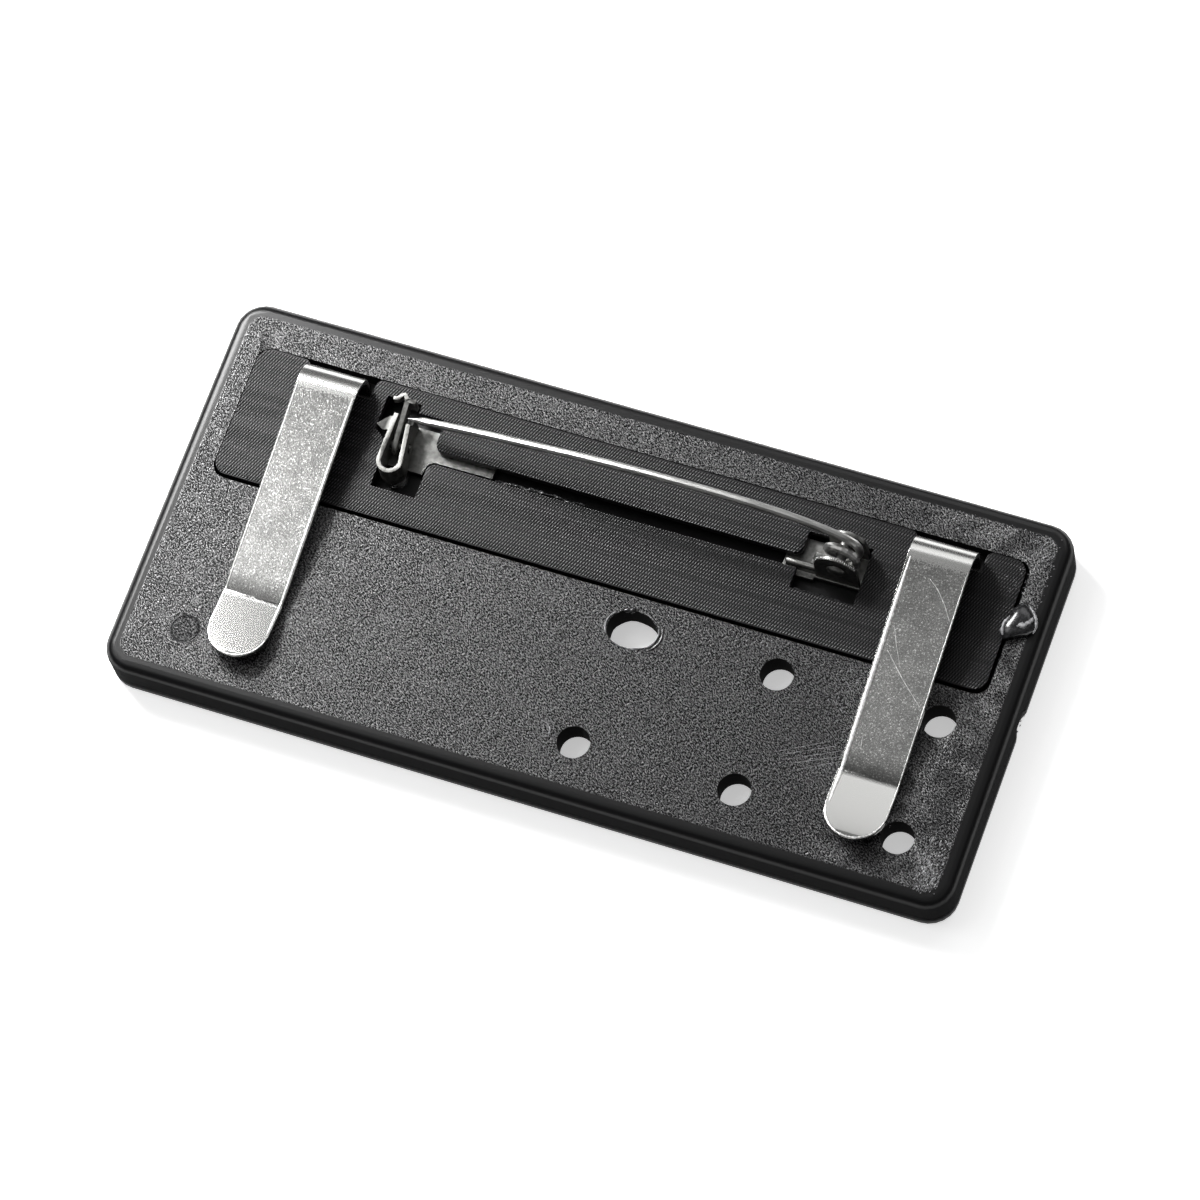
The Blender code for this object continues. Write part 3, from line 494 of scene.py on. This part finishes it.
def nickel_plate(name, dark, light, smoothest, roughest):
    """Nickel-plated steel with small pits, between two greys and two roughnesses."""
    made, tree, shader = new_material(name)
    place = add_node(tree, "ShaderNodeTexCoord").outputs["Object"]
    pits = add_node(tree, "ShaderNodeTexNoise", {
        "Vector": place, "Scale": 1 / PLATE_PIT_SIZE, "Detail": 2.0}).outputs["Fac"]
    relief = add_node(tree, "ShaderNodeBump", {
        "Height": pits, "Distance": PLATE_PIT_DEPTH, "Strength": 1.0})
    tone = add_node(tree, "ShaderNodeValToRGB", {"Fac": pits})
    tone.color_ramp.elements[0].position = 0.3
    tone.color_ramp.elements[0].color = linear(dark)
    tone.color_ramp.elements[1].position = 0.7
    tone.color_ramp.elements[1].color = linear(light)
    rough = add_node(tree, "ShaderNodeMapRange", {
        0: pits, 1: 0.3, 2: 0.7, 3: smoothest, 4: roughest}).outputs[0]
    tree.links.new(relief.outputs["Normal"], shader.inputs["Normal"])
    along = add_node(tree, "ShaderNodeSeparateXYZ", {0: place}).outputs["X"]
    # Painted shade: the colour darkens left of about x = -21 mm, over the catch's pointed tab.
    tab_shade = add_node(tree, "ShaderNodeMapRange", {
        0: along, 1: SHADE_UP_TO, 2: UNSHADED_FROM, 3: 0.25, 4: 1.0}).outputs[0]
    shaded_tone = add_node(tree, "ShaderNodeVectorMath", {
        0: tone.outputs["Color"], "Scale": tab_shade}, operation="SCALE")
    tree.links.new(shaded_tone.outputs["Vector"], shader.inputs["Base Color"])
    tree.links.new(rough, shader.inputs["Roughness"])
    shader.inputs["Metallic"].default_value = 1.0
    return made


# %% [markdown]
# The needle is drawn wire, smoother than the folded sheet: drawing leaves faint lines along it.

# %% Drawn wire
DRAW_LINE_SIZE = 0.3 * MM


def drawn_wire():
    """Nickel-plated drawn wire: smooth, with long faint draw lines and a soft sheen."""
    made, tree, shader = new_material("nickel_plated_wire")
    place = add_node(tree, "ShaderNodeTexCoord").outputs["Object"]
    stretched = add_node(tree, "ShaderNodeMapping", {"Vector": place, "Scale": (0.08, 1.0, 0.6)})
    lines = add_node(tree, "ShaderNodeTexNoise", {
        "Vector": stretched.outputs["Vector"], "Scale": 1 / DRAW_LINE_SIZE, "Detail": 2.0}).outputs["Fac"]
    tone = add_node(tree, "ShaderNodeValToRGB", {"Fac": lines})
    tone.color_ramp.elements[0].position = 0.3
    tone.color_ramp.elements[0].color = linear("b4b4b2")
    tone.color_ramp.elements[1].position = 0.7
    tone.color_ramp.elements[1].color = linear("d0d0ce")
    rough = add_node(tree, "ShaderNodeMapRange", {0: lines, 1: 0.3, 2: 0.7, 3: 0.3, 4: 0.38}).outputs[0]
    tree.links.new(tone.outputs["Color"], shader.inputs["Base Color"])
    tree.links.new(rough, shader.inputs["Roughness"])
    shader.inputs["Metallic"].default_value = 1.0
    return made


# %% [markdown]
# Rubbed and torn plastic looks different from moulded plastic. Where it is rubbed or stretched it
# turns pale, where it is scuffed hardest it is nearly white, and where it melted or tore it is
# glossy.

# %% Pale and glossy plastic for the marks
MOTTLE_SIZE = 0.3 * MM


def marked_abs(name, dark, light, smoothest, roughest):
    """ABS after damage: a mottled tone between two colours, and a roughness that varies with it."""
    made, tree, shader = new_material(name)
    place = add_node(tree, "ShaderNodeTexCoord").outputs["Object"]
    mottle = add_node(tree, "ShaderNodeTexNoise", {
        "Vector": place, "Scale": 1 / MOTTLE_SIZE, "Detail": 2.0}).outputs["Fac"]
    tone = add_node(tree, "ShaderNodeValToRGB", {"Fac": mottle})
    tone.color_ramp.elements[0].position = 0.35
    tone.color_ramp.elements[0].color = linear(dark)
    tone.color_ramp.elements[1].position = 0.65
    tone.color_ramp.elements[1].color = linear(light)
    rough = add_node(tree, "ShaderNodeMapRange", {0: mottle, 3: smoothest, 4: roughest}).outputs[0]
    tree.links.new(tone.outputs["Color"], shader.inputs["Base Color"])
    tree.links.new(rough, shader.inputs["Roughness"])
    shader.inputs["IOR"].default_value = 1.54
    return made


pale_abs = marked_abs("black_abs_rubbed_pale", "5c5c5e", "a8a8aa", 0.35, 0.6)
scuffed_abs = marked_abs("black_abs_scuffed_white", "8c8c8e", "dcdcde", 0.4, 0.6)
torn_abs = marked_abs("black_abs_torn_glossy", "0c0c0d", "2c2c2e", 0.12, 0.3)

# %% [markdown]
# Each solid takes its finish in its material slot.

# %% Dress the solids
FINISHES = {
    "back_housing": grained_abs(),
    "front_frame": smooth_abs(),
    "inlaid_strip": lined_abs(),
    "name_plate": white_acrylic(),
}
steel = spring_steel()
nickel = nickel_plate("nickel_plated_steel", "71716f", "8d8d8b", 0.3, 0.42)
dull_nickel = nickel_plate("nickel_plated_steel_tumbled", "6c6c6a", "92928f", 0.42, 0.62)
FINISHES.update({name: steel for name in ("clip_left", "clip_right")})
FINISHES.update({name: nickel for name in ("pin_base", "hinge_rivet", "lock_pivot")})
FINISHES.update({name: dull_nickel for name in ("catch_guard", "catch_lock")})
FINISHES["needle_pin"] = drawn_wire()
for name, finish in FINISHES.items():
    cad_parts[name].material_slots[0].material = finish
print("dressed:", len(FINISHES), "solids")

# %% [markdown]
# Sheared and folded steel has no perfectly sharp edges: each catches a thin line of light. The
# imported solids are welded, their edges rounded a little, and their shading evened, all with
# modifiers, so the solids themselves don't change.

# %% Rounded edges
EDGE_ROUND = {
    "clip_left": 0.07, "clip_right": 0.07, "pin_base": 0.05, "hinge_rivet": 0.03,
    "catch_guard": 0.06, "catch_lock": 0.06, "back_housing": 0.06, "inlaid_strip": 0.04,
    "front_frame": 0.05, "name_plate": 0.05,
}
WELD_DISTANCE = 0.001 * MM
SHARP_ANGLE = math.radians(40)
for name, radius in EDGE_ROUND.items():
    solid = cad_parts[name]
    weld = solid.modifiers.new("weld", "WELD")
    weld.merge_threshold = WELD_DISTANCE
    bevel = solid.modifiers.new("edge_round", "BEVEL")
    bevel.width = radius * MM
    bevel.segments = 2
    bevel.limit_method = "ANGLE"
    bevel.angle_limit = SHARP_ANGLE
    evened = solid.modifiers.new("even_shading", "WEIGHTED_NORMAL")
    evened.weight = 100
print("edges rounded on", len(EDGE_ROUND), "solids")

# %% [markdown]
# The marks of moulding, wear and damage are small pieces of their own. They are built in
# millimetres: a raised line with ragged width, an uneven lump, and crumbs. A ray from above finds
# the height of the surface that a mark lies on.

# %% Helpers for the marks
bpy.context.view_layer.update()
dice = random.Random(7)


def surface_of(name):
    """One solid's faces as a tree that rays can be cast on."""
    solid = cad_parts[name]
    corners = [solid.matrix_world @ corner.co for corner in solid.data.vertices]
    return BVHTree.FromPolygons(corners, [face.vertices[:] for face in solid.data.polygons])


def on_surface(tree, line):
    """Gives each x, y of a line the height of the surface below it."""
    laid = []
    for x, y in line:
        hit = tree.ray_cast(Vector((x, y, 50)) * MM, Vector((0, 0, -1)))[0]
        laid.append((x, y, hit.z / MM))
    return laid


def raised_line(line, width, height, ragged=0.3, step=0.15):
    """A low ridge along a line of points, tapered at both ends, as vertices and faces."""
    points = [Vector(p) for p in line]
    stations = [points[0]]
    for start, stop in zip(points, points[1:]):
        pieces = max(1, round((stop - start).length / step))
        stations += [start.lerp(stop, i / pieces) for i in range(1, pieces + 1)]
    verts, faces = [], []
    last = len(stations) - 1
    for i, point in enumerate(stations):
        along = stations[min(i + 1, last)] - stations[max(i - 1, 0)]
        side = Vector((-along.y, along.x, 0)).normalized()
        share = max(math.sin(math.pi * (i + 0.3) / (last + 0.6)), 0.0) ** 0.4
        half = width / 2 * share * dice.uniform(1 - ragged, 1 + ragged)
        rise = height * share * dice.uniform(1 - ragged, 1 + ragged)
        for across, up in ((-1, -0.2), (-0.6, 0.7), (0, 1), (0.6, 0.7), (1, -0.2)):
            verts.append(tuple(point + side * half * across + Vector((0, 0, rise * up))))
    for i in range(last):
        for k in range(5):
            m = (k + 1) % 5
            faces.append((5 * i + k, 5 * i + m, 5 * i + 5 + m, 5 * i + 5 + k))
    faces += [(4, 3, 2, 1, 0), tuple(5 * last + k for k in range(5))]
    return verts, faces


def lump(outline, low, high, rough=0.1):
    """An uneven dome over an outline, as vertices and faces."""
    middle = sum((Vector(p) for p in outline), Vector((0, 0))) / len(outline)
    count = len(outline)
    verts, faces = [], []
    for scale, level in ((1.0, 0.0), (1.04, 0.4), (0.86, 0.8), (0.5, 1.0)):
        for x, y in outline:
            place = middle + (Vector((x, y)) - middle) * scale * dice.uniform(1 - rough, 1 + rough)
            rise = (high - low) * level * dice.uniform(1 - rough, 1 + rough)
            verts.append((place.x, place.y, low + rise))
    for r in range(3):
        for k in range(count):
            m = (k + 1) % count
            faces.append((r * count + k, r * count + m, (r + 1) * count + m, (r + 1) * count + k))
    verts.append((middle.x, middle.y, high))
    faces += [(3 * count + k, 3 * count + (k + 1) % count, 4 * count) for k in range(count)]
    faces.append(tuple(reversed(range(count))))
    return verts, faces


def crumb(place, length, width, height, turn):
    """A tiny uneven grain with eight faces, turned about the vertical, in degrees."""
    c, s = math.cos(math.radians(turn)), math.sin(math.radians(turn))
    verts = []
    for a, b, h in ((1, 0, 0), (0, 1, 0), (-1, 0, 0), (0, -1, 0), (0, 0, 1), (0, 0, -1)):
        a, b = a * length / 2 * dice.uniform(0.7, 1.2), b * width / 2 * dice.uniform(0.7, 1.2)
        verts.append((place[0] + a * c - b * s, place[1] + a * s + b * c,
                      place[2] + h * height * dice.uniform(0.6, 1.1)))
    return verts, [(0, 1, 4), (1, 2, 4), (2, 3, 4), (3, 0, 4), (1, 0, 5), (2, 1, 5), (3, 2, 5), (0, 3, 5)]


def add_marks(name, parts, finish):
    """Joins parts into one piece that rides on the badge."""
    verts, faces = [], []
    for part_verts, part_faces in parts:
        start = len(verts)
        verts += [(x * MM, y * MM, z * MM) for x, y, z in part_verts]
        faces += [tuple(start + i for i in face) for face in part_faces]
    mesh = bpy.data.meshes.new(name)
    mesh.from_pydata(verts, [], faces)
    mesh.shade_smooth()
    mesh.materials.append(finish)
    piece = bpy.data.objects.new(name, mesh)
    bpy.context.scene.collection.objects.link(piece)
    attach(piece, "badge")
    print(name, "faces:", len(faces))


TOP = BACK_LEVEL / MM

# %% [markdown]
# Moulding leaves a round ejector mark near the lower left corner, and part of another by the
# second hole.

# %% Moulding marks
EJECTOR_RADIUS = 1.25
ring = [(EJECTOR_X + EJECTOR_RADIUS * math.cos(math.radians(a)),
         EJECTOR_Y + EJECTOR_RADIUS * math.sin(math.radians(a)), TOP) for a in range(100, 465, 12)]
add_marks("ejector_ring", [raised_line(ring, 0.12, 0.03, 0.15),
                           crumb((-30.6, -12.5, TOP), 0.3, 0.2, 0.03, 60)],
          torn_abs)
part_ring = [(0.21, -11.46, TOP), (0.78, -11.56, TOP), (1.2, -11.99, TOP),
             (1.26, -12.62, TOP), (0.81, -12.85, TOP)]
add_marks("mould_arc", [raised_line(part_ring, 0.1, 0.04)], pale_abs)

# %% [markdown]
# The corners at the right were rubbed on something rough: the grain is torn up in short pale
# strokes, densest at the lower corner, with whiter scuffs among them. There is a small rough spot
# beside a hole, a haze beside the right clip's tip, and a few long faint rubs to the clip's left.

# %% Rubbed places
STROKE_HEIGHT = 0.025


def strokes(count, left, right, low, high, length, turn, crowd=1.0):
    """Short strokes in a rectangle, crowded towards its right side."""
    made = []
    for _ in range(count):
        x = left + (right - left) * dice.random() ** (1 / crowd)
        y = low + (high - low) * dice.random()
        made.append(crumb((x, y, TOP), length * dice.uniform(0.5, 1.3), dice.uniform(0.05, 0.1),
                          STROKE_HEIGHT, turn + dice.uniform(-25, 25)))
    return made


add_marks("corner_rub_low", strokes(90, 32.6, 36.2, -16.3, -10.8, 0.24, 80, 1.6)
          + strokes(60, 34.0, 36.0, -16.5, -14.0, 0.3, 75), pale_abs)
add_marks("corner_scuffs", strokes(90, 34.0, 36.0, -15.8, -11.6, 0.34, 78, 1.6)
          + strokes(26, 33.5, 36.2, 12.6, 16.2, 0.2, 35)
          + strokes(16, 26.5, 32.0, 14.6, 16.2, 0.16, 15), scuffed_abs)
add_marks("corner_rub_high", strokes(70, 32.8, 36.4, 10.5, 16.4, 0.18, 40, 1.5)
          + strokes(40, 27.0, 36.0, 14.8, 16.4, 0.16, 10), pale_abs)
add_marks("rough_spot", strokes(22, 15.3, 16.7, 0.1, 0.9, 0.16, 20), pale_abs)
add_marks("haze", strokes(34, 29.6, 30.9, -12.0, -9.0, 0.14, 60), pale_abs)
rubs = [raised_line([(19.6 + 0.45 * i, -8.35 - 0.3 * i + dice.uniform(-0.2, 0.2), TOP),
                     (23.9 + 0.5 * i, -6.0 - 0.3 * i + dice.uniform(-0.2, 0.2), TOP)],
                    0.03, 0.01, 0.5) for i in range(5)]
add_marks("long_rubs", rubs, pale_abs)

# %% [markdown]
# The torn hole has a ragged pale lip where the plastic was pulled up. The slot in the strip and the
# hinge's window have ragged lower edges, and a drip of plastic stands in the catch's window.

# %% Torn edges
HOLE_X, HOLE_Y = 4.72, -1.68
HOLE_HALF_LENGTH, HOLE_HALF_WIDTH = 2.2, 1.68


def hole_lip(start, stop, reach):
    """Points along part of the torn hole's edge. Angles are degrees."""
    return [(HOLE_X + reach * HOLE_HALF_LENGTH * math.cos(math.radians(a)),
             HOLE_Y + reach * HOLE_HALF_WIDTH * math.sin(math.radians(a)), TOP)
            for a in range(start, stop + 1, 6)]


add_marks("hole_lip", [
    raised_line(hole_lip(140, 215, 1.05), 0.2, 0.12, 0.5),
    raised_line(hole_lip(228, 306, 1.02), 0.12, 0.09, 0.5),
    raised_line(hole_lip(-48, 24, 1.04), 0.17, 0.14, 0.4),
    raised_line(hole_lip(40, 76, 1.03), 0.09, 0.05, 0.5),
], pale_abs)
add_marks("hole_groove", [raised_line(hole_lip(-50, 30, 1.19), 0.3, 0.07, 0.3),
                          raised_line(hole_lip(96, 128, 1.02), 0.5, 0.16, 0.4)], torn_abs)
slot_edge = [(-11.0 + 0.41 * i, 7.72 + dice.uniform(-0.1, 0.1), TOP - 0.1) for i in range(21)]
add_marks("slot_burr", [raised_line(slot_edge, 0.34, 0.13, 0.7)], torn_abs)
hinge_edge = [(16.3 + 0.35 * i, 5.78 + dice.uniform(-0.05, 0.05), TOP - 0.05) for i in range(15)]
add_marks("hinge_window_burr", [raised_line(hinge_edge, 0.16, 0.07, 0.6)], torn_abs)
drip = [(-19.38 + 0.34 * math.cos(a * math.pi / 4), 5.18 + 0.26 * math.sin(a * math.pi / 4))
        for a in range(8)]
add_marks("recess_drip", [lump(drip, 2.75, 3.05)], torn_abs)

# %% [markdown]
# At its right end the strip was pressed down hot: a glossy lump of plastic has run over the gap,
# with a curled pale rim at its left and right ends. A pale line across its top is a painted
# highlight.

# %% Melted lump
LUMP = ((34.01, 7.48), (34.41, 6.42), (35.3, 6.9), (36.1, 7.3), (36.68, 8.0), (36.5, 8.7), (36.16, 9.29),
        (35.25, 9.99), (34.7, 9.5), (34.36, 8.86))
add_marks("melted_lump", [lump(LUMP, TOP + 0.12, TOP + 0.85, 0.08)], torn_abs)
add_marks("melted_rim_and_highlight", [
    raised_line([(34.45, 6.45, TOP + 0.3), (34.1, 7.1, TOP + 0.45), (34.1, 7.7, TOP + 0.5),
                 (34.35, 8.5, TOP + 0.5)], 0.34, 0.2, 0.4),
    raised_line([(36.62, 7.5, TOP + 0.45), (36.7, 8.1, TOP + 0.5), (36.45, 8.8, TOP + 0.5),
                 (36.05, 9.35, TOP + 0.4), (35.4, 9.9, TOP + 0.3)], 0.3, 0.18, 0.4),
    # Painted highlight: a pale line across the top of the lump.
    raised_line([(35.2, 7.6, TOP + 0.8), (35.8, 7.95, TOP + 0.8), (36.1, 8.35, TOP + 0.75),
                 (36.15, 8.85, TOP + 0.65)], 0.55, 0.12, 0.4),
], pale_abs)

# %% [markdown]
# The dent's edge is frayed, and two chips sit on the rim above it.

# %% Frayed dent
fray = [crumb((37.3 + dice.uniform(-0.12, 0.1), -0.1 + 0.24 * i, dice.uniform(0.2, 1.3)), 0.3, 0.12, 0.12,
              dice.uniform(0, 180)) for i in range(11)]
chips = [crumb((37.2, 4.99, 3.9), 0.14, 0.1, 0.08, 30), crumb((37.3, 3.71, 3.7), 0.12, 0.1, 0.08, 70)]
add_marks("dent_fray", fray + chips, pale_abs)

# %% [markdown]
# The clips' strip was slit from a wider one. Slitting rolls its edges and leaves them bright, and
# the cut round the tip is rougher. The bright bands along the long edges are also painted
# highlight, of different widths on the two sides. Long scratches cross the right clip, and the left
# clip has short bright nicks all over, a few of them just below its bend.

# %% Slit edges, edge highlights and scratches
TEAR_SIZE, TEAR_DEPTH = 0.18 * MM, 0.01 * MM


def bright_cut_and_highlight():
    """Freshly cut steel: brighter than the rolled face, with fine uneven tear lines; it also paints
    highlights on the clips' edges and the ear's rim.
    """
    made, tree, shader = new_material("spring_steel_cut_edge_and_highlight")
    place = add_node(tree, "ShaderNodeTexCoord").outputs["Object"]
    tear = add_node(tree, "ShaderNodeTexNoise", {
        "Vector": place, "Scale": 1 / TEAR_SIZE, "Detail": 2.0}).outputs["Fac"]
    relief = add_node(tree, "ShaderNodeBump", {
        "Height": tear, "Distance": TEAR_DEPTH, "Strength": 0.6})
    tone = add_node(tree, "ShaderNodeValToRGB", {"Fac": tear})
    tone.color_ramp.elements[0].position = 0.35
    tone.color_ramp.elements[0].color = linear("c4c4c4")
    tone.color_ramp.elements[1].position = 0.65
    tone.color_ramp.elements[1].color = linear("f0f0ee")
    rough = add_node(tree, "ShaderNodeMapRange", {0: tear, 3: 0.3, 4: 0.5}).outputs[0]
    tree.links.new(relief.outputs["Normal"], shader.inputs["Normal"])
    tree.links.new(tone.outputs["Color"], shader.inputs["Base Color"])
    tree.links.new(rough, shader.inputs["Roughness"])
    shader.inputs["Metallic"].default_value = 1.0
    return made


cut_steel_and_highlight = bright_cut_and_highlight()
# Widths in mm of the bright bands on each clip's left and right edge: cut steel and painted highlight.
CLIP_EDGES = {"clip_left": (0.16, 0.3), "clip_right": (0.5, 0.1)}
BEND_WIDTH, TIP_WIDTH, CLIP_LEAN = 5.38, 5.3, 0.26
BEND_Y, TIP_Y = 12.55, -14.32
CUT_START, CUT_STEP, CUT_STEPS = 10.2, 0.545, 41
CUT_HEIGHT, RIM_HEIGHT = 0.035, 0.03
for name, (left_band, right_band) in CLIP_EDGES.items():
    blade = surface_of(name)
    low, high = (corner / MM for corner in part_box(name))
    middle = low.x + BEND_WIDTH / 2
    parts = []
    for side, band in ((-1, left_band), (1, right_band)):
        line = []
        for i in range(CUT_STEPS):
            y = CUT_START - i * CUT_STEP
            share = (BEND_Y - y) / (BEND_Y - TIP_Y)
            half = (BEND_WIDTH + (TIP_WIDTH - BEND_WIDTH) * share) / 2 - band / 2 - 0.05
            line.append((middle + CLIP_LEAN * share + side * half, y))
        parts.append(raised_line(on_surface(blade, line), band, CUT_HEIGHT, 0.15))
    rim = []
    for a in range(186, 355, 6):
        x = middle + CLIP_LEAN + (TIP_WIDTH / 2 - 0.14) * math.cos(math.radians(a))
        rim.append((x, low.y + TIP_WIDTH / 2 + (TIP_WIDTH / 2 - 0.16) * math.sin(math.radians(a))))
    parts.append(raised_line(on_surface(blade, rim), 0.17, RIM_HEIGHT, 0.5))
    add_marks(name + "_cut_edges_and_highlights", parts, cut_steel_and_highlight)

blade = surface_of("clip_right")
scratches = [
    ([(27.47, 8.76), (28.39, 8.06), (29.37, 6.93), (30.15, 5.76)], 0.07),
    ([(25.99, 2.09), (27.0, 1.05), (28.01, 0.04), (29.0, -0.85), (29.94, -1.66)], 0.09),
    ([(25.9, 4.2), (26.6, 2.6), (27.5, 0.9)], 0.05),
    ([(26.3, -5.2), (26.5, -6.4)], 0.05),
]
add_marks("clip_right_scratches", [raised_line(on_surface(blade, line), width, 0.014, 0.4)
                                   for line, width in scratches], cut_steel_and_highlight)
blade = surface_of("clip_left")
nicks = [([(-28.6, 9.5), (-28.4, 8.9)], 0.1), ([(-27.95, 9.75), (-27.7, 9.1)], 0.09),
         ([(-28.5, 9.7), (-27.9, 9.8)], 0.07), ([(-26.3, 9.4), (-26.1, 9.1)], 0.12)]
for _ in range(60):
    x, y = dice.uniform(-28.7, -24.8), dice.uniform(-7.5, 9.0)
    end = (x + dice.uniform(-0.15, 0.15), y + dice.uniform(0.12, 0.4))
    nicks.append(([(x, y), end], dice.uniform(0.04, 0.09)))
add_marks("clip_left_nicks", [raised_line(on_surface(blade, line), width, 0.02, 0.4)
                              for line, width in nicks], cut_steel_and_highlight)

# %% [markdown]
# The front ear's round top was nibbled out of the sheet, so its edge is toothed. The teeth are
# bright cut steel, partly a painted highlight along its rim.

# %% Toothed ear
EAR_X, EAR_Y, EAR_Z, EAR_RADIUS = 19.45, 7.8, 6.1, 1.88
teeth = []
for a in range(24, 156, 6):
    turned = math.radians(a)
    edge = (EAR_X + EAR_RADIUS * math.cos(turned), EAR_Y + dice.uniform(-0.06, 0.08),
            EAR_Z + EAR_RADIUS * math.sin(turned))
    # Painted highlight, in part: bright steel teeth along the ear's round top.
    teeth.append(crumb(edge, 0.13, 0.3, 0.07, dice.uniform(-20, 20)))
add_marks("ear_teeth_and_highlight", teeth, cut_steel_and_highlight)
